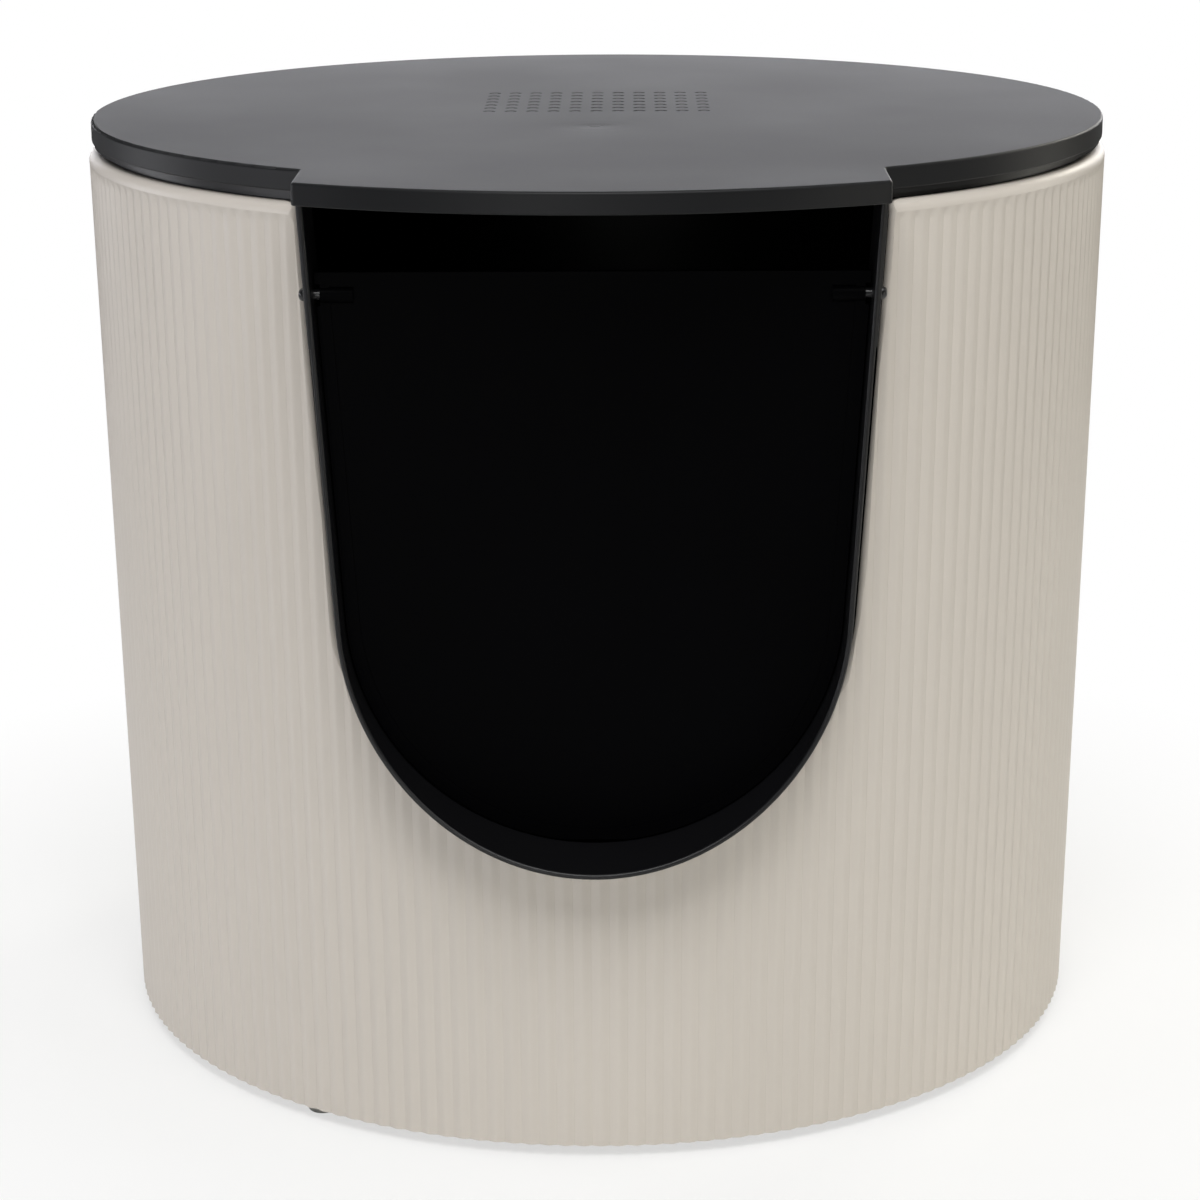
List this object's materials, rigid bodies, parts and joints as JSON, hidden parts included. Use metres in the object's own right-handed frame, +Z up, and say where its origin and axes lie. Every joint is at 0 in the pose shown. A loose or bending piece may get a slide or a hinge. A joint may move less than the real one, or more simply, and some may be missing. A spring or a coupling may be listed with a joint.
{
  "type": "covered litter box",
  "caption": "Round covered litter box: reeded drum with a U-shaped entry, drop-in liner with an entry spout and swing flap, and a vented lift-off lid over a carbon filter.",
  "frame": {"origin": "on the floor under the middle of the whole footprint, lid tab included", "axes": "+Z up, the entry and the lid's tab face -Y, +X to the right of someone who looks at the entry"},
  "size_m": [0.4206, 0.4482, 0.3815],
  "materials": {
    "shell": "fine matt texture, greige",
    "feet": "clear silicone bumper",
    "liner": "satin black",
    "pins": "smooth black",
    "flap": "deep black, smooth",
    "lid": "fine matt texture, black",
    "cover": "satin black",
    "filter": "carbon-filled felt"
  },
  "bodies": {
    "drum": {"outer_shell": "shell", "foot_front_left": "feet", "foot_front_right": "feet", "foot_rear_left": "feet", "foot_rear_right": "feet"},
    "liner": {"litter_liner": "liner", "hinge_pin_left": "pins", "hinge_pin_right": "pins"},
    "flap": {"flap_door": "flap"},
    "lid_body": {"lid": "lid"},
    "filter_tray": {"filter_cover": "cover", "carbon_filter": "filter"}
  },
  "joints": [
    {"name": "liner_lift", "type": "slide", "parent": "drum", "child": "liner", "axis": [0, 0, 1], "range_m": [0, 0.4]},
    {"name": "flap_swing", "type": "hinge", "parent": "liner", "child": "flap", "pos_m": [0, -0.1762, 0.3373], "axis": [1, 0, 0], "range_deg": [-80, 80]},
    {"name": "lid_lift", "type": "slide", "parent": "liner", "child": "lid_body", "axis": [0, 0, 1], "range_m": [0, 0.15]},
    {"name": "filter_cover_hinge", "type": "hinge", "parent": "lid_body", "child": "filter_tray", "pos_m": [0, 0.0684, 0.3717], "axis": [1, 0, 0], "range_deg": [0, 95]}
  ]
}
